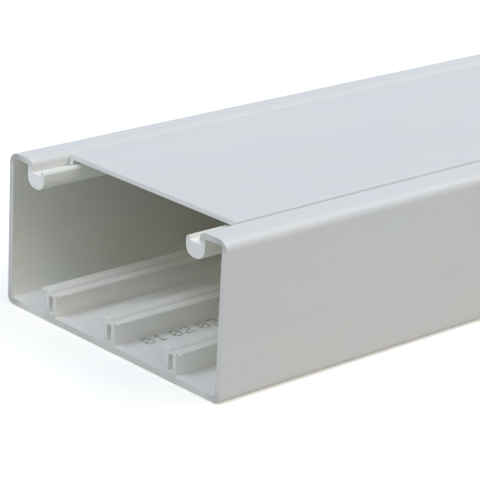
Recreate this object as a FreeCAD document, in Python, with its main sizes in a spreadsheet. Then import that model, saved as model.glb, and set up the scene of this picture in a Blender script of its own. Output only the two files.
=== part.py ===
# Cable raceway with a snap-in cover: a base channel and a cover strip, each one extrusion.
#
# Frame: +X runs along the raceway, away from its open near end, +Z is up, and the level that the
# raceway lies on is Z = 0. The origin is midway along the whole and midway between the two walls.
# Both pieces are a die profile drawn on the YZ plane and run out along +X.
import FreeCAD, Part
import math
import os
import Sketcher

Vector = FreeCAD.Vector

# Driving sizes, in millimetres

SIZES = [
    ("length", 2000, "length that the base and the cover are both sold in"),
    ("cover_setback", 14, "how far the cover is slid back from the near end"),
    ("width", 100, "outside width of the channel"),
    ("height", 50, "outside height of the channel, from its feet to the lips"),
    ("wall", 2, "thickness of the side walls"),
    ("floor", 2, "thickness of the floor"),
    ("shoulder_round", 3.6, "outer rounding between wall and return shelf"),
    ("base_round", 2.4, "outer rounding between wall and floor"),
    ("inner_round", 0.8, "rounding in the inner corners"),
    ("shelf", 1.8, "thickness of the return shelf on top of each wall"),
    ("return_width", 11.5, "from the outer side of the wall to the inward face of the curl"),
    ("curl_leg", 2.3, "thickness of the leg that the shelf curls down into"),
    ("curl_round", 2.4, "outer rounding where the shelf curls down"),
    ("gutter_depth", 4, "from the top of the lip down to the gutter that takes the cover's rim"),
    ("gutter_width", 4.1, "width of the gutter, from the curl's face to the bead"),
    ("gutter_edge", 0.35, "rounding between the gutter's side and the bead's top"),
    ("groove_depth", 0.5, "depth of the snap groove, cut into the leg just above the gutter"),
    ("groove_height", 0.7, "height of the snap groove"),
    ("bead_drop", 2.6, "from the top of the lip down to the top of the bead"),
    ("bead_width", 8, "width of the bead, its leg included"),
    ("bead_depth", 6.1, "height of the bead, from its top to its lowest line"),
    ("bead_flat", 1.4, "narrow flat at the lowest line of the bead"),
    ("bead_edge", 1.1, "rounding of the bead's upper edge, over the cable space"),
    ("rail_count", 3, "number of rails on the floor"),
    ("rail_pitch", 28.2, "spacing of the rails"),
    ("rail_rise", 8.2, "height of a rail above the floor"),
    ("rail_hollow", 1.9, "width of the hollow between a rail's two legs"),
    ("hollow_floor", 0.8, "how far the hollow's bottom lies above the floor"),
    ("hollow_roof", 1.8, "from the top of the rail down to the hollow"),
    ("hollow_round", 0.3, "rounding in the hollow's corners"),
    ("rail_leg", 1.4, "thickness of each leg of a rail"),
    ("rail_flange", 2.25, "how far each flange stands out from its leg"),
    ("rail_flange_depth", 0.8, "thickness of the flanges"),
    ("rail_edge", 0.4, "rounding of the flanges' upper edges"),
    ("valley_width", 3.4, "width of the shallow valley along the top of a rail"),
    ("valley_depth", 1, "depth of the valley"),
    ("foot", 0.3, "how far a rail's foot stands out under the floor"),
    ("cover_drop", 0.2, "how far the cover's top lies below the lips"),
    ("cover_plate", 1.6, "thickness of the cover's plate"),
    ("cover_edge", 1, "rounding of the cover's upper edges"),
    ("rim", 1.4, "thickness of the cover's turned-down rim"),
    ("side_gap", 0.7, "clearance between the rim and the lip's inward face"),
    ("seat_gap", 0.2, "clearance between the rim's foot and the gutter"),
    ("ridge_reach", 0.95, "how far the snap ridge stands out from the rim, into the groove"),
    ("ridge_height", 0.5, "height of the snap ridge"),
    ("ridge_round", 0.2, "lead-in rounding of the snap ridge"),
]

# Lines that several outlines share, written with the sheet's sizes

HALF_WIDTH = "sizes.width / 2"
UNDERSIDE = "sizes.foot"
FLOOR_TOP = "sizes.foot + sizes.floor"
LIP_TOP = "sizes.height"
GUTTER = "sizes.height - sizes.gutter_depth"
BEAD_TOP = "sizes.height - sizes.bead_drop"
BEAD_BOTTOM = "sizes.height - sizes.bead_drop - sizes.bead_depth"
CURL_FACE = "sizes.width / 2 - sizes.return_width"
GUTTER_SIDE = "sizes.width / 2 - sizes.return_width - sizes.gutter_width"
LEG_BACK = "sizes.width / 2 - sizes.return_width + sizes.curl_leg"
BEAD_FACE = "sizes.width / 2 - sizes.return_width + sizes.curl_leg - sizes.bead_width"
COVER_TOP = "sizes.height - sizes.cover_drop"
RAIL_MIDDLE = "-(sizes.rail_count - 1) / 2 * sizes.rail_pitch"
RAIL_TOP = "sizes.foot + sizes.floor + sizes.rail_rise"


def make_sheet(doc):
    """The spreadsheet of driving sizes: a note, a value and an alias in each row."""
    sheet = doc.addObject("Spreadsheet::Sheet", "sizes")
    for row, (alias, value, note) in enumerate(SIZES, start=1):
        sheet.set(f"A{row}", note)
        sheet.set(f"B{row}", str(value))
        sheet.setAlias(f"B{row}", alias)
    doc.recompute()
    return sheet


def origin_feature(body, role):
    """One of a body's own origin planes or axes, found by its role."""
    for feature in body.Origin.OriginFeatures:
        if feature.Role == role:
            return feature
    raise RuntimeError(f"{body.Label} has no {role}")


def profile_sketch(body, name):
    """An empty sketch on the body's YZ plane: its x is the row's Y, and its y is the row's Z."""
    sketch = body.newObject("Sketcher::SketchObject", name)
    sketch.AttachmentSupport = (origin_feature(body, "YZ_Plane"), [""])
    sketch.MapMode = "FlatFace"
    return sketch


def corner_arc(corner, before, after, radius):
    """The quarter arc that rounds a corner, and which of its ends (1 or 2) comes first on the way round."""
    way_in = (corner - before).normalize()
    way_out = (after - corner).normalize()
    centre = corner - way_in * radius + way_out * radius
    first = corner - way_in * radius - centre
    last = corner + way_out * radius - centre
    turns_left = way_in.cross(way_out).z > 0
    start = first if turns_left else last
    angle = math.atan2(start.y, start.x)
    circle = Part.Circle(centre, Vector(0, 0, 1), radius)
    arc = Part.ArcOfCircle(circle, angle, angle + math.pi / 2)
    return arc, (1 if turns_left else 2)


def draw_outline(sketch, lines, rounds):
    """Draw and fully constrain a closed outline of level and upright lines.

    lines alternate ("level", z) and ("upright", y), each place an expression of the sheet, in order
    round the outline. rounds gives the radius of a corner by the number of the line that runs into it.
    """
    count = len(lines)
    places = [float(sketch.evalExpression(place)) for _, place in lines]
    corners = []
    for number in range(count):
        pair = {lines[number][0]: places[number]}
        pair[lines[(number + 1) % count][0]] = places[(number + 1) % count]
        corners.append(Vector(pair["upright"], pair["level"], 0))

    arcs = {}
    for number, radius in rounds.items():
        size = float(sketch.evalExpression(radius))
        after = corners[(number + 1) % count]
        arcs[number] = corner_arc(corners[number], corners[number - 1], after, size) + (size,)

    line_ids = []
    for number in range(count):
        start = corners[number - 1]
        end = corners[number]
        along = (end - start).normalize()
        before = (number - 1) % count
        if before in arcs:
            start = start + along * arcs[before][2]
        if number in arcs:
            end = end - along * arcs[number][2]
        line_ids.append(sketch.addGeometry(Part.LineSegment(start, end), False))

    for number, (direction, place) in enumerate(lines):
        constrain_line(sketch, line_ids[number], direction, place, places[number])
    for number in range(count):
        this_line = line_ids[number]
        next_line = line_ids[(number + 1) % count]
        if number not in arcs:
            sketch.addConstraint(Sketcher.Constraint("Coincident", this_line, 2, next_line, 1))
            continue
        arc, first_end, size = arcs[number]
        arc_id = sketch.addGeometry(arc, False)
        last_end = 3 - first_end
        sketch.addConstraint(Sketcher.Constraint("Tangent", this_line, 2, arc_id, first_end))
        sketch.addConstraint(Sketcher.Constraint("Tangent", arc_id, last_end, next_line, 1))
        index = sketch.addConstraint(Sketcher.Constraint("Radius", arc_id, size))
        sketch.setExpression(f"Constraints[{index}]", rounds[number])


def constrain_line(sketch, line_id, direction, place, value):
    """Hold a line level or upright at the place that an expression gives."""
    level = direction == "level"
    sketch.addConstraint(Sketcher.Constraint("Horizontal" if level else "Vertical", line_id))
    if place == "0":
        axis = -1 if level else -2
        sketch.addConstraint(Sketcher.Constraint("PointOnObject", line_id, 1, axis))
        return
    kind = "DistanceY" if level else "DistanceX"
    index = sketch.addConstraint(Sketcher.Constraint(kind, -1, 1, line_id, 1, value))
    sketch.setExpression(f"Constraints[{index}]", place)


def extrude(body, sketch, name):
    """Run a profile out along +X to the stock's length."""
    pad = body.newObject("PartDesign::Pad", name)
    pad.Profile = sketch
    pad.setExpression("Length", "sizes.length")
    pad.Refine = True
    return pad


def mirror_half(body, pad, name):
    """Complete a half profile on the other side of the middle plane."""
    mirrored = body.newObject("PartDesign::Mirrored", name)
    mirrored.Originals = [pad]
    mirrored.MirrorPlane = (origin_feature(body, "XZ_Plane"), [""])
    mirrored.Refine = True
    body.Tip = mirrored
    return mirrored


# Base channel: the profile of one half, from the middle of the floor to the bead

def half_channel(body):
    sketch = profile_sketch(body, "channel_profile")
    lines = [
        ("level", UNDERSIDE),
        ("upright", HALF_WIDTH),
        ("level", LIP_TOP),
        ("upright", CURL_FACE),
        ("level", f"{GUTTER} + sizes.groove_height"),
        ("upright", f"{CURL_FACE} + sizes.groove_depth"),
        ("level", GUTTER),
        ("upright", GUTTER_SIDE),
        ("level", BEAD_TOP),
        ("upright", BEAD_FACE),
        ("level", BEAD_BOTTOM),
        ("upright", LEG_BACK),
        ("level", "sizes.height - sizes.shelf"),
        ("upright", "sizes.width / 2 - sizes.wall"),
        ("level", FLOOR_TOP),
        ("upright", "0"),
    ]
    bead_round = "(sizes.bead_width - sizes.bead_flat) / 2"
    rounds = {
        0: "sizes.base_round",
        1: "sizes.shoulder_round",
        2: "sizes.curl_round",
        7: "sizes.gutter_edge",
        8: "sizes.bead_edge",
        9: bead_round,
        10: bead_round,
        11: "sizes.inner_round",
        12: "sizes.inner_round",
        13: "sizes.inner_round",
    }
    draw_outline(sketch, lines, rounds)
    return extrude(body, sketch, "channel_half")


# Rail: two legs with a hollow between them, a flange on both sides and a foot under the floor

def rail(body):
    sketch = profile_sketch(body, "rail_profile")
    hollow_side = "sizes.rail_hollow / 2"
    leg_side = "(sizes.rail_hollow / 2 + sizes.rail_leg)"
    tip = "(sizes.rail_hollow / 2 + sizes.rail_leg + sizes.rail_flange)"
    flange_underside = RAIL_TOP + " - sizes.rail_flange_depth"
    outside = [
        ("level", "0"),
        ("upright", f"{RAIL_MIDDLE} + {leg_side}"),
        ("level", flange_underside),
        ("upright", f"{RAIL_MIDDLE} + {tip}"),
        ("level", RAIL_TOP),
        ("upright", f"{RAIL_MIDDLE} - {tip}"),
        ("level", flange_underside),
        ("upright", f"{RAIL_MIDDLE} - {leg_side}"),
    ]
    hollow = [
        ("level", f"{FLOOR_TOP} + sizes.hollow_floor"),
        ("upright", f"{RAIL_MIDDLE} + {hollow_side}"),
        ("level", f"{RAIL_TOP} - sizes.hollow_roof"),
        ("upright", f"{RAIL_MIDDLE} - {hollow_side}"),
    ]
    draw_outline(sketch, outside, {3: "sizes.rail_edge", 4: "sizes.rail_edge"})
    draw_outline(sketch, hollow, {number: "sizes.hollow_round" for number in range(4)})
    return extrude(body, sketch, "rail")


def rail_valley(body):
    """A shallow V along the top of the rail: a triangle cut out over the whole length."""
    sketch = profile_sketch(body, "valley_profile")
    places = [
        (f"{RAIL_MIDDLE} - sizes.valley_width / 2", RAIL_TOP),
        (f"{RAIL_MIDDLE}", f"{RAIL_TOP} - sizes.valley_depth"),
        (f"{RAIL_MIDDLE} + sizes.valley_width / 2", RAIL_TOP),
    ]
    points = []
    for across, up in places:
        points.append(Vector(float(sketch.evalExpression(across)), float(sketch.evalExpression(up)), 0))
    for number in range(3):
        sketch.addGeometry(Part.LineSegment(points[number], points[(number + 1) % 3]), False)
    for number, (across, up) in enumerate(places):
        sketch.addConstraint(Sketcher.Constraint("Coincident", number - 1 if number else 2, 2, number, 1))
        for kind, place, value in (("DistanceX", across, points[number].x), ("DistanceY", up, points[number].y)):
            index = sketch.addConstraint(Sketcher.Constraint(kind, -1, 1, number, 1, value))
            sketch.setExpression(f"Constraints[{index}]", place)
    pocket = body.newObject("PartDesign::Pocket", "valley")
    pocket.Profile = sketch
    pocket.Reversed = True
    pocket.setExpression("Length", "sizes.length")
    pocket.Refine = True
    return pocket


def rail_row(body, features):
    """Repeat the rail and its valley across the floor."""
    pattern = body.newObject("PartDesign::LinearPattern", "rail_row")
    pattern.Originals = features
    pattern.Direction = (origin_feature(body, "Y_Axis"), [""])
    pattern.setExpression("Length", "(sizes.rail_count - 1) * sizes.rail_pitch")
    pattern.setExpression("Occurrences", "sizes.rail_count")
    pattern.Refine = True
    body.Tip = pattern
    return pattern


def make_base_channel(doc):
    body = doc.addObject("PartDesign::Body", "base_channel")
    body.Label = "base_channel"
    mirror_half(body, half_channel(body), "channel")
    rail_pad = rail(body)
    rail_row(body, [rail_pad, rail_valley(body)])
    body.setExpression("Placement.Base.x", "-(sizes.length + sizes.cover_setback) / 2")
    return body


# Cover strip: the profile of one half, from the middle of the plate round the rim and its snap ridge

def half_cover(body):
    sketch = profile_sketch(body, "cover_profile")
    rim_side = f"{CURL_FACE} - sizes.side_gap"
    rim_foot = f"{GUTTER} + sizes.seat_gap"
    lines = [
        ("level", f"{COVER_TOP} - sizes.cover_plate"),
        ("upright", f"{rim_side} - sizes.rim"),
        ("level", rim_foot),
        ("upright", f"{rim_side} + sizes.ridge_reach"),
        ("level", f"{rim_foot} + sizes.ridge_height"),
        ("upright", rim_side),
        ("level", COVER_TOP),
        ("upright", "0"),
    ]
    draw_outline(sketch, lines, {2: "sizes.ridge_round", 5: "sizes.cover_edge"})
    return extrude(body, sketch, "cover_half")


def make_cover_strip(doc):
    body = doc.addObject("PartDesign::Body", "cover_strip")
    body.Label = "cover_strip"
    mirror_half(body, half_cover(body), "cover")
    body.setExpression("Placement.Base.x", "-(sizes.length - sizes.cover_setback) / 2")
    return body


def check_document(doc, bodies):
    """Stop before anything is written if a feature failed or a piece isn't one valid solid."""
    for item in doc.Objects:
        if "Invalid" in item.State or "Error" in item.State:
            raise RuntimeError(f"{item.Label} failed: {item.State}")
    for body in bodies:
        shape = body.Shape
        if shape.isNull() or not shape.isValid() or len(shape.Solids) != 1:
            raise RuntimeError(f"{body.Label} isn't one valid solid")


def write_parts(bodies):
    os.makedirs("parts", exist_ok=True)
    for body in bodies:
        body.Shape.exportStep(f"parts/{body.Label}.step")
        box = body.Shape.BoundBox
        print(f"{body.Label}: {box.XLength:.2f} x {box.YLength:.2f} x {box.ZLength:.2f} mm, "
              f"volume {body.Shape.Volume / 1000:.1f} cm3")


def main():
    doc = FreeCAD.newDocument("raceway")
    make_sheet(doc)
    bodies = [make_base_channel(doc), make_cover_strip(doc)]
    doc.recompute()
    check_document(doc, bodies)
    write_parts(bodies)


main()
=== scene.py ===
# %% [markdown]
# # A cable raceway with its cover slid back
#
# A raceway is a long plastic channel that hides cables along a wall. This one is two extrusions: a
# channel with curled lips and hollow rails, and a flat cover that snaps between the lips.
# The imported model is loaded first, because every size and place below is set against it.

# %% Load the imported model
import math

import bmesh
import bpy
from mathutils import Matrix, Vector
from mathutils.geometry import tessellate_polygon


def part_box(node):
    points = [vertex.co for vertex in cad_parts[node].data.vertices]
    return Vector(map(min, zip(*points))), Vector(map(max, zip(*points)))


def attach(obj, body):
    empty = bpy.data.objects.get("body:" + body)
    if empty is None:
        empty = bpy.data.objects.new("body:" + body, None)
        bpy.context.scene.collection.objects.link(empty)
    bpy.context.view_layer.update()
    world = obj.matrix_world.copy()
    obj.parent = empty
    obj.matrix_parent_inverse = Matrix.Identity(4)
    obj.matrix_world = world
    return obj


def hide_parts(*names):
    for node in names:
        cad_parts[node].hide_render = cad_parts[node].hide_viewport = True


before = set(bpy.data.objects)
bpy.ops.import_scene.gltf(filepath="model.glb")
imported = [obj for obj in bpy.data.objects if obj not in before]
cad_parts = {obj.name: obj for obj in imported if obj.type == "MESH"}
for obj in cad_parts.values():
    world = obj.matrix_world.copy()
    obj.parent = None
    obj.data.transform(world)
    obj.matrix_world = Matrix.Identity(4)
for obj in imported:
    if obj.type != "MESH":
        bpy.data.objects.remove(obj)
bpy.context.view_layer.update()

scene = bpy.context.scene
scene.view_settings.view_transform = "Standard"

# %% [markdown]
# ## The camera
#
# The picture was taken from close by, so the section at the near end is strongly foreshortened.
# A camera can be placed by eye, but a straight-sided object gives itself away: the place, the
# direction and the focal length below come from fitting its straight edges. Only the first 150 mm
# of the raceway are in the frame, and the rest runs out of the picture on the right.

# %% Place the camera
MM = 0.001

CAMERA_PLACE = Vector((-1424.3, -497.4, 271.2)) * MM
LOOKS_ALONG = Vector((0.64574, 0.68426, -0.33883))
CAMERA_UP = Vector((0.19535, 0.28093, 0.93964))
FOCAL_LENGTH = 174.94
SENSOR_WIDTH = 36
CLIP_START = 0.01


def place_camera():
    """A camera whose own axes are set one by one: right, up and backwards."""
    data = bpy.data.cameras.new("photo_camera")
    data.lens = FOCAL_LENGTH
    data.sensor_width = SENSOR_WIDTH
    data.clip_start = CLIP_START
    camera = bpy.data.objects.new("photo_camera", data)
    scene.collection.objects.link(camera)
    backwards = -LOOKS_ALONG.normalized()
    rightwards = CAMERA_UP.cross(backwards).normalized()
    upwards = backwards.cross(rightwards)
    for row in range(3):
        camera.matrix_world[row][0] = rightwards[row]
        camera.matrix_world[row][1] = upwards[row]
        camera.matrix_world[row][2] = backwards[row]
        camera.matrix_world[row][3] = CAMERA_PLACE[row]
    return camera


scene.camera = place_camera()
base_low, base_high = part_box("base_channel")
near_end_middle = Vector((base_low.x, 0, base_high.z / 2))
print("camera is", round((CAMERA_PLACE - near_end_middle).length, 3), "m from the near end")

# %% [markdown]
# ## From corners to a die profile
#
# An extrusion is one outline run out along a line. The outline is written down as its sharp
# corners, each with the radius that rounds it, and a helper turns that list into a fine loop of
# points. A bevel modifier could round the edges too, but here each corner has a radius of its own,
# and the loop keeps a tag that says which skin the face after each point belongs to.

# %% Round the corners of an outline
ARC_STEP = math.radians(7.5)
SMALL_RADIUS = 0.5
SMALL_ARC_STEPS = 4
LEAST_TURN = 1e-6


def rounded_loop(corners):
    """Points round a closed outline, each with the skin of the face that follows it.

    corners holds (y, z, radius, skin) in millimetres, in order round the outline. A fifth entry is
    the skin of the rounding itself, where that isn't the skin of the face after it.
    """
    loop = []
    count = len(corners)
    for number, (y, z, radius, skin, *own) in enumerate(corners):
        corner = Vector((y, z))
        before = Vector(corners[number - 1][:2])
        after = Vector(corners[(number + 1) % count][:2])
        way_in = (corner - before).normalized()
        way_out = (after - corner).normalized()
        turn = way_in.angle_signed(way_out, 0.0)
        if radius == 0 or abs(turn) < LEAST_TURN:
            loop.append((corner, skin))
            continue
        reach = radius * math.tan(abs(turn) / 2)
        side = Vector((-way_in.y, way_in.x))
        if way_in.cross(way_out) < 0:
            side = -side
        centre = corner - way_in * reach + side * radius
        steps = SMALL_ARC_STEPS if radius < SMALL_RADIUS else math.ceil(abs(turn) / ARC_STEP)
        for step in range(steps + 1):
            swing = abs(turn) * step / steps
            point = centre - side * radius * math.cos(swing) + way_in * radius * math.sin(swing)
            loop.append((point, own[0] if own and step < steps else skin))
    return loop


test_square = [(0, 0, 0, "a"), (2, 0, 0.5, "a"), (2, 2, 0.5, "a"), (0, 2, 0, "a")]
print("a square with two rounded corners has", len(rounded_loop(test_square)), "points")

# %% [markdown]
# Both sections are the same left and right, so only the right half is written down. Mirroring the
# list of corners also turns its order round, and with it the question which face follows a corner.

# %% Mirror half a section


def mirrored(half):
    """The closed corner list of a symmetric section, from the corners of its right half."""
    other = []
    for number, (y, z, radius, skin, *own) in enumerate(half):
        skin_before = half[number - 1][3] if number else half[0][3]
        if y != 0:
            other.append((-y, z, radius, skin_before, own[0] if own else skin))
    return half + other[::-1]


test_half = [(1, 0, 0, "a"), (1, 2, 0, "a")]
print("half a square of two corners has", len(mirrored(test_half)), "when mirrored")

# %% [markdown]
# ## The channel's section
#
# These are the same sizes as in the solid model, in millimetres. The walls curl inwards at the top
# and end in a solid bead with a round foot. Between the curl and the bead runs a gutter for the
# cover's rim, with a shallow groove at its side that holds the cover's snap ridge. Three hollow rails
# stand on the floor, each with two flanges, a shallow valley along its top and a foot below.
# Corners that the die leaves crisp still get a tiny radius, because a perfectly sharp edge catches
# no light.

# %% Sizes of the walls and the floor
HALF_WIDTH = 50.0
HEIGHT = 50.0
WALL = 2.0
FOOT = 0.3
FLOOR_TOP = FOOT + 2.0
SHOULDER_ROUND = 3.6
BASE_ROUND = 2.4
INNER_ROUND = 0.8
CRISP = 0.18
print("the channel is", 2 * HALF_WIDTH, "x", HEIGHT, "mm outside")

# %% Sizes of the lips
SHELF_UNDERSIDE = HEIGHT - 1.8
CURL_FACE = HALF_WIDTH - 11.5
CURL_ROUND = 2.4
LEG_BACK = CURL_FACE + 2.3
GUTTER = HEIGHT - 4.0
GUTTER_CORNER = 0.3
GROOVE_TOP = GUTTER + 0.7
GROOVE_BACK = CURL_FACE + 0.5
GUTTER_SIDE = CURL_FACE - 4.1
GUTTER_EDGE = 0.35
BEAD_TOP = HEIGHT - 2.6
BEAD_EDGE = 1.1
BEAD_FACE = LEG_BACK - 8.0
BEAD_BOTTOM = HEIGHT - 8.7
BEAD_ROUND = 3.3
print("the mouth between the beads is", 2 * BEAD_FACE, "mm wide")

# %% Sizes of the rails
RAIL_PITCH = 28.2
RAIL_TOP = FLOOR_TOP + 8.2
HOLLOW_SIDE = 0.95
HOLLOW_BOTTOM = FLOOR_TOP + 0.8
HOLLOW_TOP = RAIL_TOP - 1.8
HOLLOW_ROUND = 0.3
LEG_SIDE = HOLLOW_SIDE + 1.4
LEG_FOOT_ROUND = 0.3
LEG_TOP_ROUND = 0.25
FLANGE_TIP = LEG_SIDE + 2.25
FLANGE_UNDERSIDE = RAIL_TOP - 0.8
FLANGE_ROUND = 0.3
RAIL_EDGE = 0.4
VALLEY_SIDE = 1.7
VALLEY_BOTTOM = RAIL_TOP - 1.0
VALLEY_SIDE_ROUND = 0.8
VALLEY_BOTTOM_ROUND = 0.2
print("a rail is", round(2 * FLANGE_TIP, 2), "mm wide over its flanges")

# %% [markdown]
# A rail's outline is passed over from right to left as part of the floor's. Its hollow is an outline
# of its own, listed the other way round, because it is a hole in the section.

# %% Corners of a rail and of its hollow


def rail_corners(middle):
    """One rail as the outline passes over it, from its right foot to its left."""
    corners = mirrored([
        (LEG_SIDE, FLOOR_TOP, LEG_FOOT_ROUND, "leg"),
        (LEG_SIDE, FLANGE_UNDERSIDE, LEG_TOP_ROUND, "rail"),
        (FLANGE_TIP, FLANGE_UNDERSIDE, FLANGE_ROUND, "rail"),
        (FLANGE_TIP, RAIL_TOP, RAIL_EDGE, "rail"),
        (VALLEY_SIDE, RAIL_TOP, VALLEY_SIDE_ROUND, "valley"),
        (0, VALLEY_BOTTOM, VALLEY_BOTTOM_ROUND, "valley"),
    ])
    corners[-1] = corners[-1][:3] + ("floor", "leg")
    return [(middle + y, *rest) for y, *rest in corners]


def hollow_corners(middle):
    left = middle - HOLLOW_SIDE
    right = middle + HOLLOW_SIDE
    places = ((left, HOLLOW_BOTTOM), (left, HOLLOW_TOP), (right, HOLLOW_TOP), (right, HOLLOW_BOTTOM))
    return [(y, z, HOLLOW_ROUND, "hollow") for y, z in places]


print("a rail adds", len(rail_corners(0)), "corners and its hollow", len(hollow_corners(0)))

# %% Corners of the channel
CORNERS_TO_MIDDLE_OF_RAIL = 6


def channel_half():
    """Corners of the right half, from the middle of the underside to the middle rail's valley."""
    corners = [(LEG_SIDE, 0, CRISP, "outer"), (LEG_SIDE, FOOT, 0, "outer")]
    for side, height in ((-1, FOOT), (-1, 0), (1, 0), (1, FOOT)):
        corners.append((RAIL_PITCH + side * LEG_SIDE, height, 0, "outer"))
    corners += [
        (HALF_WIDTH, FOOT, BASE_ROUND, "outer"),
        (HALF_WIDTH, HEIGHT, SHOULDER_ROUND, "outer"),
        (CURL_FACE, HEIGHT, CURL_ROUND, "curl"),
        (CURL_FACE, GROOVE_TOP, 0, "lip"),
        (GROOVE_BACK, GROOVE_TOP, 0, "lip"),
        (GROOVE_BACK, GUTTER, 0, "lip"),
        (GUTTER_SIDE, GUTTER, GUTTER_CORNER, "lip"),
        (GUTTER_SIDE, BEAD_TOP, GUTTER_EDGE, "bead"),
        (BEAD_FACE, BEAD_TOP, BEAD_EDGE, "bead"),
        (BEAD_FACE, BEAD_BOTTOM, BEAD_ROUND, "bead"),
        (LEG_BACK, BEAD_BOTTOM, BEAD_ROUND, "inner"),
        (LEG_BACK, SHELF_UNDERSIDE, INNER_ROUND, "inner"),
        (HALF_WIDTH - WALL, SHELF_UNDERSIDE, INNER_ROUND, "inner"),
        (HALF_WIDTH - WALL, FLOOR_TOP, INNER_ROUND, "floor"),
    ]
    corners += rail_corners(RAIL_PITCH)
    corners += rail_corners(0)[:CORNERS_TO_MIDDLE_OF_RAIL]
    return corners


channel_loops = [rounded_loop(mirrored(channel_half()))]
for middle in (-RAIL_PITCH, 0, RAIL_PITCH):
    channel_loops.append(rounded_loop(hollow_corners(middle)))
print("points in the channel's outline and hollows:", [len(loop) for loop in channel_loops])

# %% [markdown]
# ## The cover's section
#
# The cover is a thin plate with a turned-down rim along each side. A small ridge at the rim's foot
# snaps into the groove of the lip, so that nothing hangs down into the cable space. Its top lies a
# hair below the lips, and its long edges are rounded: together they draw the soft dark line that
# runs beside the cover.

# %% Sizes of the cover
COVER_TOP = HEIGHT - 0.2
PLATE_UNDERSIDE = COVER_TOP - 1.6
RIM_SIDE = CURL_FACE - 0.7
RIM_BACK = RIM_SIDE - 1.4
RIM_FOOT = GUTTER + 0.2
RIM_BACK_ROUND = 0.3
RIM_FOOT_ROUND = 0.2
RIDGE_TOP = RIM_FOOT + 0.5
RIDGE_TIP = RIM_SIDE + 0.95
RIDGE_EDGE = 0.1
RIDGE_CORNER = 0.15
COVER_EDGE = 1.0
print("the cover is", round(2 * RIDGE_TIP, 2), "mm wide over its snap ridges")

# %% Corners of the cover


def cover_half():
    """Corners of the right half, from the plate's underside round the rim to its top."""
    return [
        (RIM_BACK, PLATE_UNDERSIDE, RIM_BACK_ROUND, "inner"),
        (RIM_BACK, RIM_FOOT, RIM_FOOT_ROUND, "inner"),
        (RIDGE_TIP, RIM_FOOT, RIM_FOOT_ROUND, "plate"),
        (RIDGE_TIP, RIDGE_TOP, RIDGE_EDGE, "plate"),
        (RIM_SIDE, RIDGE_TOP, RIDGE_CORNER, "plate"),
        (RIM_SIDE, COVER_TOP, COVER_EDGE, "plate"),
    ]


cover_loops = [rounded_loop(mirrored(cover_half()))]
print("points in the cover's outline:", len(cover_loops[0]))

# %% [markdown]
# ## Running a profile out
#
# A curve with a bevel object would do this, and so would the Screw modifier, but building the mesh
# ring by ring gives control over the sawn ends. There the last tenth of a millimetre is drawn in
# a little, which is the broken edge that a saw leaves, and the flat end gets a material of its own.

# %% Draw a loop in for the broken edge
END_CHAMFER = 0.09
LEAST_STRETCH = 0.5


def drawn_in(loop, distance):
    """The loop moved inwards by a distance, corner by corner."""
    moved = []
    count = len(loop)
    for number, (point, _) in enumerate(loop):
        way_in = (point - loop[number - 1][0]).normalized()
        way_out = (loop[(number + 1) % count][0] - point).normalized()
        normal_in = Vector((-way_in.y, way_in.x))
        normal_out = Vector((-way_out.y, way_out.x))
        middle = (normal_in + normal_out).normalized()
        stretch = max(middle.dot(normal_in), LEAST_STRETCH)
        moved.append(point + middle * distance / stretch)
    return moved


drawn_width = 2 * max(point.x for point in drawn_in(channel_loops[0], END_CHAMFER))
print("the channel's end is drawn in to", round(drawn_width, 2), "mm")

# %% [markdown]
# Four rings make the skin of one loop: a drawn-in one at each end and a full one just behind it.
# The faces between the full rings wear the skins of the outline, and the broken edges wear the cut.

# %% Run out the skin of one loop


def add_ring(mesh, points, x):
    return [mesh.verts.new((x, point.x * MM, point.y * MM)) for point in points]


def run_out_loop(mesh, loop, x_near, x_far, skin_names):
    """The skin of one loop with its broken ends; returns the inset outline and the two end rings.

    The last of skin_names is the one that the sawn ends wear.
    """
    full = [point for point, _ in loop]
    inset = drawn_in(loop, END_CHAMFER)
    chamfer = END_CHAMFER * MM
    rings = [
        add_ring(mesh, inset, x_near),
        add_ring(mesh, full, x_near + chamfer),
        add_ring(mesh, full, x_far - chamfer),
        add_ring(mesh, inset, x_far),
    ]
    count = len(loop)
    for number, (ring, following) in enumerate(zip(rings, rings[1:])):
        for index in range(count):
            nxt = (index + 1) % count
            face = mesh.faces.new((ring[index], following[index], following[nxt], ring[nxt]))
            skin = loop[index][1] if number == 1 else skin_names[-1]
            face.material_index = skin_names.index(skin)
            face.smooth = True
    return [point.to_3d() for point in inset], rings[0], rings[-1]


print("an end is broken by", END_CHAMFER, "mm")

# %% Close the ends
SHARP_ANGLE = math.radians(30)


def run_out(name, loops, x_near, x_far, skin_names):
    """A solid extrusion along X of an outline and the hollows in it, with its two ends closed."""
    mesh = bmesh.new()
    outlines = []
    near_end = []
    far_end = []
    for loop in loops:
        outline, near_ring, far_ring = run_out_loop(mesh, loop, x_near, x_far, skin_names)
        outlines.append(outline)
        near_end += near_ring
        far_end += far_ring
    for triangle in tessellate_polygon(outlines):
        for end in (near_end, far_end):
            face = mesh.faces.new([end[corner] for corner in triangle])
            face.material_index = len(skin_names) - 1
    bmesh.ops.recalc_face_normals(mesh, faces=mesh.faces)

    data = bpy.data.meshes.new(name)
    mesh.to_mesh(data)
    mesh.free()
    data.set_sharp_from_angle(angle=SHARP_ANGLE)
    piece = bpy.data.objects.new(name, data)
    scene.collection.objects.link(piece)
    print(name, "has", len(data.polygons), "faces,", round(x_far - x_near, 3), "m long")
    return piece


# %% Run out the channel and the cover
cover_low, cover_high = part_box("cover_strip")
BASE_SKINS = ["outer", "curl", "lip", "bead", "inner", "floor", "rail", "leg", "valley", "hollow", "cut"]
COVER_SKINS = ["plate", "inner", "cover_cut"]

channel = run_out("raceway_channel", channel_loops, base_low.x, base_high.x, BASE_SKINS)
cover = run_out("raceway_cover", cover_loops, cover_low.x, cover_high.x, COVER_SKINS)

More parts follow.
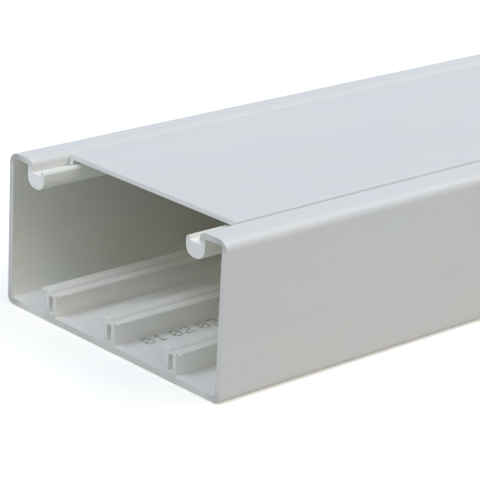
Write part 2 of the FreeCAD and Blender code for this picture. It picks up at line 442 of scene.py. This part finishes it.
# %% [markdown]
# ## The plastic skin
#
# Rigid PVC comes out of the die with a satin skin. Three things make it look real: faint lines
# along the run where the die has worn, a gentle waviness that breaks up reflections, and a grain
# too fine to see singly. All three are one kind of noise at different stretches: squeezed along the
# run it makes lines, left even it makes grain. An image texture could hold them too, but noise in
# object space fits any length of stock. The helpers come first, each for one kind of node.

# %% Start a material


def new_material(name):
    """A material with its node tree, its principled shader and object coordinates."""
    material = bpy.data.materials.new(name)
    material.use_nodes = True
    tree = material.node_tree
    shader = tree.nodes["Principled BSDF"]
    place = tree.nodes.new("ShaderNodeTexCoord").outputs["Object"]
    return material, tree, shader, place


# %% Noise, ranges and products
NOISE_LOW = 0.25
NOISE_HIGH = 0.75
SMOOTH = 1.0
PLAIN = 2.0
FINE = 3.0


def stretched_noise(tree, place, scale, detail=PLAIN):
    """Noise whose features are one unit divided by scale, axis by axis."""
    mapping = tree.nodes.new("ShaderNodeMapping")
    mapping.inputs["Scale"].default_value = scale
    noise = tree.nodes.new("ShaderNodeTexNoise")
    noise.inputs["Scale"].default_value = 1.0
    noise.inputs["Detail"].default_value = detail
    tree.links.new(place, mapping.inputs["Vector"])
    tree.links.new(mapping.outputs["Vector"], noise.inputs["Vector"])
    return noise.outputs["Fac"]


def remapped(tree, value, low, high, start=NOISE_LOW, end=NOISE_HIGH):
    """A value between start and end brought to the range low to high."""
    node = tree.nodes.new("ShaderNodeMapRange")
    node.inputs["From Min"].default_value = start
    node.inputs["From Max"].default_value = end
    node.inputs["To Min"].default_value = low
    node.inputs["To Max"].default_value = high
    tree.links.new(value, node.inputs["Value"])
    return node.outputs["Result"]


def multiplied(tree, first, second):
    node = tree.nodes.new("ShaderNodeMath")
    node.operation = "MULTIPLY"
    tree.links.new(first, node.inputs[0])
    tree.links.new(second, node.inputs[1])
    return node.outputs["Value"]


print("noise mostly stays between", NOISE_LOW, "and", NOISE_HIGH)

# %% [markdown]
# Colours are mixed, brightened or darkened, and graded. Grading means that a brightness follows the
# height or the width of the section: on the skins it paints highlight and shade, and on the sawn ends
# it makes bands greyer or paler. A colour ramp holds it as a few stops, which could also be painted,
# but stops can be read and changed.

# %% Mix and tint colours


def times(colour, factors):
    return tuple(part * factor for part, factor in zip(colour, factors))


def colour_mix(tree, factor, first, second):
    """A mix node from one colour to another; the first may also be another node's colour."""
    mix = tree.nodes.new("ShaderNodeMix")
    mix.data_type = "RGBA"
    if isinstance(first, tuple):
        mix.inputs["A"].default_value = first + (1,)
    else:
        tree.links.new(first, mix.inputs["A"])
    mix.inputs["B"].default_value = second + (1,)
    tree.links.new(factor, mix.inputs["Factor"])
    return mix.outputs["Result"]


def tinted(tree, colour, brightness):
    """A colour, fixed or from another node, times a brightness that varies over the surface."""
    node = tree.nodes.new("ShaderNodeVectorMath")
    node.operation = "SCALE"
    if isinstance(colour, tuple):
        node.inputs[0].default_value = colour
    else:
        tree.links.new(colour, node.inputs[0])
    tree.links.new(brightness, node.inputs["Scale"])
    return node.outputs["Vector"]


# %% Grade a brightness over the section


def graded(tree, place, bands, axis="Z"):
    """A brightness along the height or width: bands holds (place in millimetres, brightness)."""
    start = bands[0][0]
    end = bands[-1][0]
    parts = tree.nodes.new("ShaderNodeSeparateXYZ")
    tree.links.new(place, parts.inputs["Vector"])
    ramp = tree.nodes.new("ShaderNodeValToRGB")
    stops = ramp.color_ramp.elements
    while len(stops) < len(bands):
        stops.new(1.0)
    for stop, (distance, brightness) in zip(stops, bands):
        stop.position = (distance - start) / (end - start)
        stop.color = (brightness, brightness, brightness, 1)
    tree.links.new(remapped(tree, parts.outputs[axis], 0, 1, start * MM, end * MM), ramp.inputs["Fac"])
    return ramp.outputs["Color"]


# %% Raise a relief


def bumped(tree, height, distance, strength, normal=None):
    node = tree.nodes.new("ShaderNodeBump")
    node.inputs["Distance"].default_value = distance
    node.inputs["Strength"].default_value = strength
    tree.links.new(height, node.inputs["Height"])
    if normal is not None:
        tree.links.new(normal, node.inputs["Normal"])
    return node.outputs["Normal"]


# %% [markdown]
# ## One recipe for all the extruded skins
#
# Every face of the stock is the same plastic, so one recipe makes all the skins. They differ in
# grey, which paints light and shade face by face, in gloss, in how deep the die lines are, in the
# painted highlight and shade of their graded bands, and in how they have been rubbed. The tint drifts
# a little between warm and cool, as white plastic does where it has lain in the light.

# %% The extruded skin
DIE_LINES = (1.2, 900, 900)
BROAD_STREAKS = (0.8, 120, 120)
CLOUDS = (9, 24, 24)
WAVINESS = (7, 30, 30)
GRAIN = (2600, 2600, 2600)
TINT_CLOUDS = (28, 60, 60)
RUBBED_STREAKS = (230, 1500, 1500)

WARMER = (1.012, 1.0, 0.975)
COOLER = (0.988, 1.0, 1.02)
CLOUD_SHADE = (0.975, 1.02)
STREAK_SHADE = (0.985, 1.012)
RUBBED_RANGE = (0.4, 0.6)
WAVE_DEPTH = 0.0004
SHALLOW_LINES = 0.00002
DEEP_LINES = 0.00004
GRAIN_DEPTH = 0.00001
SOFT_RELIEF = 0.35
FIRM_RELIEF = 0.5
PLASTIC_IOR = 1.5


def extruded_skin(name, colour, gloss, line_depth=SHALLOW_LINES, bands=(), rubbed=0.0):
    """Satin plastic with die lines, waves and grain.

    gloss is its range of roughness, bands grades it over the height with painted highlight or shade,
    and rubbed is how far its worn streaks darken it.
    """
    material, tree, shader, place = new_material(name)
    lines = stretched_noise(tree, place, DIE_LINES, FINE)
    streaks = stretched_noise(tree, place, BROAD_STREAKS)
    clouds = stretched_noise(tree, place, CLOUDS)
    grain = stretched_noise(tree, place, GRAIN)
    waves = stretched_noise(tree, place, WAVINESS, SMOOTH)

    shade = multiplied(tree, remapped(tree, clouds, *CLOUD_SHADE), remapped(tree, streaks, *STREAK_SHADE))
    shade = multiplied(tree, shade, remapped(tree, lines, *STREAK_SHADE))
    # The bands paint highlight or shade over the height.
    if bands:
        shade = multiplied(tree, shade, graded(tree, place, bands))
    if rubbed:
        specks = stretched_noise(tree, place, RUBBED_STREAKS)
        shade = multiplied(tree, shade, remapped(tree, specks, 1 - rubbed, 1.0, *RUBBED_RANGE))
    tint = remapped(tree, stretched_noise(tree, place, TINT_CLOUDS), 0, 1)
    drift = colour_mix(tree, tint, times(colour, COOLER), times(colour, WARMER))
    tree.links.new(tinted(tree, drift, shade), shader.inputs["Base Color"])
    tree.links.new(remapped(tree, streaks, *gloss), shader.inputs["Roughness"])

    normal = bumped(tree, waves, WAVE_DEPTH, SOFT_RELIEF)
    normal = bumped(tree, lines, line_depth, FIRM_RELIEF, normal)
    normal = bumped(tree, grain, GRAIN_DEPTH, SOFT_RELIEF, normal)
    tree.links.new(normal, shader.inputs["Normal"])
    shader.inputs["IOR"].default_value = PLASTIC_IOR
    return material


# %% [markdown]
# The outside is palest on its shoulders, a painted highlight, and the inside of the walls is paler
# near the floor than under the lips: painted light below and painted shade under the lips. The
# valleys of the rails carry painted shade, grey at the bottom and pale at the rim. The rails are
# drawn hardest through the die and have the deepest lines.

# %% Make the skins
# Painted highlight along the rounded shoulders.
SHOULDER_HIGHLIGHT_BANDS = ((0.0, 1.0), (46.8, 0.99), (48.0, 1.05), (48.9, 1.09), (49.6, 1.05), (50.0, 1.03))
# Painted light low on the inside walls and painted shade under the lips.
WALL_LIGHT_AND_SHADE_BANDS = ((0.0, 1.12), (12.0, 1.10), (25.0, 0.96), (50.0, 0.97))
# Painted shade in the bottom of the rails' valleys, paler at the rim.
VALLEY_SHADE_BANDS = ((0.0, 0.89), (9.5, 0.89), (9.9, 0.98), (10.4, 1.12), (50.0, 1.12))
RAIL_RUB = 0.07

# One plastic, in a different grey face by face as painted light and shade: the inside, the floor, the
# rails, their legs and hollows are paler than the outside to lift the shade inside the channel, the
# valleys are darker, and the lip's gutter is palest and creamy, painted light that fills the shade in the
# gap beside the cover.
OUTER_GREY = (0.742, 0.748, 0.75)
PLATE_GREY = (0.76, 0.767, 0.77)
CURL_GREY = (0.80, 0.795, 0.775)
LIP_GREY = (0.975, 0.965, 0.94)
BEAD_GREY = (0.82, 0.845, 0.785)
INNER_GREY = (0.832, 0.84, 0.79)
FLOOR_GREY = (0.91, 0.905, 0.918)
RAIL_GREY = (0.99, 0.97, 0.95)
VALLEY_GREY = (0.84, 0.825, 0.815)
HOLLOW_GREY = (0.97, 0.965, 0.97)
LEG_GREY = (0.955, 0.955, 0.925)

skins = {
    "outer": extruded_skin("satin_outer_skin", OUTER_GREY, (0.34, 0.44), bands=SHOULDER_HIGHLIGHT_BANDS),
    "plate": extruded_skin("satin_plate_skin", PLATE_GREY, (0.36, 0.46)),
    "curl": extruded_skin("satin_curl_skin", CURL_GREY, (0.36, 0.46)),
    "lip": extruded_skin("satin_lip_skin", LIP_GREY, (0.38, 0.48)),
    "bead": extruded_skin("satin_bead_skin", BEAD_GREY, (0.38, 0.48)),
    "inner": extruded_skin("matt_inner_skin", INNER_GREY, (0.48, 0.60), bands=WALL_LIGHT_AND_SHADE_BANDS),
    "floor": extruded_skin("matt_floor_skin", FLOOR_GREY, (0.42, 0.54)),
    "rail": extruded_skin("drawn_rail_skin", RAIL_GREY, (0.38, 0.52), DEEP_LINES, rubbed=RAIL_RUB),
    "leg": extruded_skin("matt_leg_skin", LEG_GREY, (0.46, 0.58), DEEP_LINES),
    "valley": extruded_skin("shaded_valley_skin", VALLEY_GREY, (0.50, 0.62), DEEP_LINES, VALLEY_SHADE_BANDS),
    "hollow": extruded_skin("lightened_hollow_skin", HOLLOW_GREY, (0.50, 0.62), DEEP_LINES),
}
print("skins:", sorted(skins))

# %% [markdown]
# ## The sawn ends
#
# A saw leaves fine, slightly curved scratches and a surface with no gloss. Waves bent by noise give
# the scratches, and a second, finer noise breaks them up. The cut is greyer along the shelf, the
# walls and the floor, and paler on the thick beads. One ramp over the height and one over the width
# say how much, band by band. Rough plastic scatters light evenly, so its roughness is high
# throughout.

# %% The cut material
SAW_MARK_SCALE = 420
SAW_TILT = math.radians(62)
MARK_WANDER = 3.0
MARK_DETAIL = 3.0
MARK_DETAIL_SCALE = 0.4
CRUMBS = (1500, 1500, 1500)
PATCHES = (90, 90, 90)

MARK_SHADE = (0.97, 1.02)
CRUMB_SHADE = (0.97, 1.03)
CUT_ROUGHNESS = (0.6, 0.75)
MARK_DEPTH = 0.00004
CRUMB_DEPTH = 0.00003
CRUMB_RELIEF = 0.4


def sawn_end(name, colour, bands, bands_across=()):
    material, tree, shader, place = new_material(name)
    mapping = tree.nodes.new("ShaderNodeMapping")
    mapping.inputs["Rotation"].default_value = (SAW_TILT, 0, 0)
    tree.links.new(place, mapping.inputs["Vector"])
    marks = tree.nodes.new("ShaderNodeTexWave")
    marks.bands_direction = "Y"
    marks.inputs["Scale"].default_value = SAW_MARK_SCALE
    marks.inputs["Distortion"].default_value = MARK_WANDER
    marks.inputs["Detail"].default_value = MARK_DETAIL
    marks.inputs["Detail Scale"].default_value = MARK_DETAIL_SCALE
    tree.links.new(mapping.outputs["Vector"], marks.inputs["Vector"])
    crumbs = stretched_noise(tree, place, CRUMBS, FINE)
    patches = stretched_noise(tree, place, PATCHES)

    scratches = remapped(tree, marks.outputs["Fac"], *MARK_SHADE, 0, 1)
    shade = multiplied(tree, scratches, remapped(tree, patches, *CRUMB_SHADE))
    shade = multiplied(tree, shade, remapped(tree, crumbs, *CRUMB_SHADE))
    shade = multiplied(tree, shade, graded(tree, place, bands))
    if bands_across:
        shade = multiplied(tree, shade, graded(tree, place, bands_across, "Y"))
    tree.links.new(tinted(tree, colour, shade), shader.inputs["Base Color"])
    tree.links.new(remapped(tree, crumbs, *CUT_ROUGHNESS), shader.inputs["Roughness"])
    normal = bumped(tree, marks.outputs["Fac"], MARK_DEPTH, FIRM_RELIEF)
    normal = bumped(tree, crumbs, CRUMB_DEPTH, CRUMB_RELIEF, normal)
    tree.links.new(normal, shader.inputs["Normal"])
    return material


# %% Cut the ends and dress both pieces
CUT_BANDS = ((0.0, 0.75), (2.6, 0.77), (6.0, 0.89), (46.0, 0.88), (47.8, 0.67), (50.0, 0.67))
CUT_BANDS_ACROSS = (
    (-50.0, 0.86), (-47.0, 0.86), (-43.0, 1.02), (-35.0, 1.04), (-30.0, 0.97), (0.0, 1.0),
    (30.0, 1.0), (35.0, 1.19), (42.0, 1.17), (46.0, 0.84), (50.0, 0.81),
)
COVER_CUT_BANDS = ((0.0, 0.84), (49.0, 0.84), (49.8, 0.88))
CUT_GREY = (0.885, 0.888, 0.93)
COVER_CUT_GREY = (0.925, 0.935, 0.995)

skins["cut"] = sawn_end("sawn_end", CUT_GREY, CUT_BANDS, CUT_BANDS_ACROSS)
skins["cover_cut"] = sawn_end("sawn_cover_end", COVER_CUT_GREY, COVER_CUT_BANDS)
for piece, names in ((channel, BASE_SKINS), (cover, COVER_SKINS)):
    for name in names:
        piece.data.materials.append(skins[name])
    print(piece.name, "wears", [material.name for material in piece.data.materials])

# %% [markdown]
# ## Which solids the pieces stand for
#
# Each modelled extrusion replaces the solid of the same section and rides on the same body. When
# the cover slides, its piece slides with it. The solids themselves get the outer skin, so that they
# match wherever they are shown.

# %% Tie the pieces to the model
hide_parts("base_channel")
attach(channel, "base")
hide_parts("cover_strip")
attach(cover, "cover")
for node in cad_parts.values():
    node.data.materials.clear()
    node.data.materials.append(skins["outer"])
print("solids replaced: base_channel, cover_strip")

# %% [markdown]
# ## Printed length marks
#
# The floor of such a channel carries a row of marks from an ink-jet printer in the extrusion line.
# Here it is a plain row of running numbers. An ink-jet writes in dots, so each figure is a pattern
# of five by seven places, and each filled place becomes a flat drop of ink. A text object would be
# quicker but gives smooth letters.

# %% Figures made of dots
FIGURES = {
    "0": ("01110", "10001", "10011", "10101", "11001", "10001", "01110"),
    "1": ("00100", "01100", "00100", "00100", "00100", "00100", "01110"),
    "2": ("01110", "10001", "00001", "00110", "01000", "10000", "11111"),
    "3": ("11110", "00001", "00001", "01110", "00001", "00001", "11110"),
    "4": ("00010", "00110", "01010", "10010", "11111", "00010", "00010"),
    "5": ("11111", "10000", "11110", "00001", "00001", "10001", "01110"),
    "6": ("01110", "10000", "10000", "11110", "10001", "10001", "01110"),
    "7": ("11111", "00001", "00010", "00100", "01000", "01000", "01000"),
    "8": ("01110", "10001", "10001", "01110", "10001", "10001", "01110"),
}
print("figures:", "".join(sorted(FIGURES)))

# %% A drop of ink
DOT_RADIUS = 0.44
DOT_SIDES = 8
DOT_SLOPE = 0.25
INK_HEIGHT = 0.03


def add_drop(mesh, x, y):
    """A flat eight-sided drop of ink lying on the floor, closed below."""
    top = []
    bottom = []
    for side in range(DOT_SIDES):
        angle = math.tau * side / DOT_SIDES
        across = Vector((math.cos(angle), math.sin(angle), 0)) * DOT_RADIUS
        place = Vector((x, y, FLOOR_TOP)) + across
        bottom.append(mesh.verts.new(place * MM))
        top.append(mesh.verts.new((place - across * DOT_SLOPE + Vector((0, 0, INK_HEIGHT))) * MM))
    mesh.faces.new(top)
    mesh.faces.new(bottom[::-1])
    for side in range(DOT_SIDES):
        nxt = (side + 1) % DOT_SIDES
        mesh.faces.new((bottom[side], bottom[nxt], top[nxt], top[side]))


# %% Write a label
DOT_PITCH = 0.75
DOT_PITCH_ACROSS = 0.66
FIGURE_STEP = 4.6
FIGURE_WIDTH = 4 * DOT_PITCH
PRINT_Y = -3.0


def write_label(mesh, text, x):
    """One running number: it reads from the near end with its foot away from the middle rail."""
    drops = 0
    for place, figure in enumerate(text):
        start = x + place * FIGURE_STEP
        for row, cells in enumerate(FIGURES[figure]):
            for column, cell in enumerate(cells):
                if cell == "1":
                    add_drop(mesh, start + column * DOT_PITCH, PRINT_Y - row * DOT_PITCH_ACROSS)
                    drops += 1
    return drops


print("a label is", FIGURE_STEP + FIGURE_WIDTH, "mm long")

# %% Print the rows of numbers
FIRST_LABEL = 10.0
LABEL_STEP = 11.0
LABELS_IN_A_ROW = 8
ROW_STEP = 500.0
ROWS = 4

mesh = bmesh.new()
drop_count = 0
for row in range(ROWS):
    row_start = base_low.x / MM + FIRST_LABEL + row * ROW_STEP
    for number in range(LABELS_IN_A_ROW):
        drop_count += write_label(mesh, f"{number + 1:02d}", row_start + number * LABEL_STEP)
ink_mesh = bpy.data.meshes.new("length_marks")
mesh.to_mesh(ink_mesh)
mesh.free()
length_marks = bpy.data.objects.new("length_marks", ink_mesh)
scene.collection.objects.link(length_marks)
print("length marks:", drop_count, "drops of ink")

# %% [markdown]
# Ink on plastic fades in patches. The same kind of noise that makes the skins thins it out, from
# nearly black to nearly the grey of the floor.

# %% The ink
INK_GREY = (0.27, 0.28, 0.25)
INK_PATCHES = (110, 300, 300)
INK_FADE = (0.6, 2.6)
INK_ROUGHNESS = (0.45, 0.65)
INK_RELIEF_DEPTH = 0.00001


def faded_ink(name):
    material, tree, shader, place = new_material(name)
    fade = stretched_noise(tree, place, INK_PATCHES, FINE)
    tree.links.new(tinted(tree, INK_GREY, remapped(tree, fade, *INK_FADE)), shader.inputs["Base Color"])
    tree.links.new(remapped(tree, fade, *INK_ROUGHNESS), shader.inputs["Roughness"])
    tree.links.new(bumped(tree, fade, INK_RELIEF_DEPTH, FIRM_RELIEF), shader.inputs["Normal"])
    return material


ink_mesh.materials.append(faded_ink("faded_ink"))
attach(length_marks, "base")
print("the marks wear", ink_mesh.materials[0].name)

# %% [markdown]
# ## Floor and light
#
# The object stands on a plain white floor under a ceiling that is brightest and a little blue
# overhead. Four wide, soft suns do the rest: a warm one over the right side, a high and a low one in
# front that reach into the open end, and one behind that draws the pale lines along the rounded edges.
# A sun lights the floor evenly to the horizon, which an area lamp doesn't. The floor is whiter to
# the camera than to the light that bounces off it, so the background stays white and the sides
# aren't overlit.

# %% Tell what the camera sees from what light bounces off


def ray_switch(tree):
    """1 for what the camera sees directly, in a mirror or through glass, and 0 for bounced light."""
    rays = tree.nodes.new("ShaderNodeLightPath")
    total = rays.outputs["Is Camera Ray"]
    for kind in ("Is Glossy Ray", "Is Transmission Ray"):
        add = tree.nodes.new("ShaderNodeMath")
        add.operation = "ADD"
        add.use_clamp = True
        tree.links.new(total, add.inputs[0])
        tree.links.new(rays.outputs[kind], add.inputs[1])
        total = add.outputs["Value"]
    return total


# %% Lay the floor
FLOOR_RADIUS = 14.0
FLOOR_SIDES = 96


def lay_floor():
    mesh = bmesh.new()
    rim = []
    for side in range(FLOOR_SIDES):
        angle = math.tau * side / FLOOR_SIDES
        rim.append(mesh.verts.new((math.cos(angle) * FLOOR_RADIUS, math.sin(angle) * FLOOR_RADIUS, 0)))
    mesh.faces.new(rim)
    data = bpy.data.meshes.new("studio_floor")
    mesh.to_mesh(data)
    mesh.free()
    floor = bpy.data.objects.new("studio_floor", data)
    scene.collection.objects.link(floor)
    return floor


floor = lay_floor()
print("floor:", FLOOR_RADIUS * 2, "m across")

# %% Paint the floor
FLOOR_SEEN = (1.0, 1.0, 1.0)
FLOOR_BOUNCE = (0.74, 0.72, 0.67)
FLOOR_GLOW = 0.30
GLOW_TINT = (1.0, 0.93, 0.88)
FLOOR_ROUGHNESS = 0.9
FLOOR_SPECULAR = 0.1


def floor_paint():
    """White with a faint glow to the camera, and a plain warm grey to the light."""
    material, tree, shader, _ = new_material("white_floor")
    shader.inputs["Roughness"].default_value = FLOOR_ROUGHNESS
    shader.inputs["Specular IOR Level"].default_value = FLOOR_SPECULAR
    seen = ray_switch(tree)
    tree.links.new(colour_mix(tree, seen, FLOOR_BOUNCE, FLOOR_SEEN), shader.inputs["Base Color"])
    tree.links.new(remapped(tree, seen, 0, FLOOR_GLOW, 0, 1), shader.inputs["Emission Strength"])
    shader.inputs["Emission Color"].default_value = GLOW_TINT + (1,)
    return material


floor.data.materials.append(floor_paint())
print("the floor glows by", FLOOR_GLOW, "for the camera alone")

# %% Light the room
WALL_LIGHT = (0.02, 0.02, 0.02)
CEILING_LIGHT = (0.38, 0.478, 0.597)
SEEN_ROOM = (1.0, 1.0, 1.0)


def light_world():
    """Walls of one level that brighten towards the ceiling, and plain white to the camera."""
    world = bpy.data.worlds.new("even_room")
    world.use_nodes = True
    tree = world.node_tree
    direction = tree.nodes.new("ShaderNodeTexCoord").outputs["Generated"]
    parts = tree.nodes.new("ShaderNodeSeparateXYZ")
    tree.links.new(direction, parts.inputs["Vector"])
    room = colour_mix(tree, parts.outputs["Z"], WALL_LIGHT, CEILING_LIGHT)
    seen = colour_mix(tree, ray_switch(tree), room, SEEN_ROOM)
    tree.links.new(seen, tree.nodes["Background"].inputs["Color"])
    return world


scene.world = light_world()
print("the room's ceiling has the light", CEILING_LIGHT)

# %% Hang the suns
SUNS = {
    "high_sun": (Vector((-0.5, 0.0, 1.0)), 30, (0.711, 0.757, 0.794)),
    "low_sun": (Vector((-1.0, -0.3, 0.4)), 40, (0.638, 0.596, 0.438)),
    "side_sun": (Vector((0.3, -0.9, 1.0)), 40, (0.60, 0.49, 0.345)),
    "back_sun": (Vector((0.65, -0.2, 0.72)), 30, (0.458, 0.479, 0.583)),
}


def hang_sun(name, comes_from, spread, colour):
    """A soft sun: where it comes from, its spread in degrees, and its colour times its level."""
    data = bpy.data.lights.new(name, "SUN")
    data.energy = max(colour)
    data.angle = math.radians(spread)
    data.color = [part / max(colour) for part in colour]
    sun = bpy.data.objects.new(name, data)
    sun.rotation_euler = comes_from.to_track_quat("Z", "Y").to_euler()
    scene.collection.objects.link(sun)
    print(name, "has the level", round(data.energy, 3))


for name, (comes_from, spread, colour) in SUNS.items():
    hang_sun(name, comes_from, spread, colour)
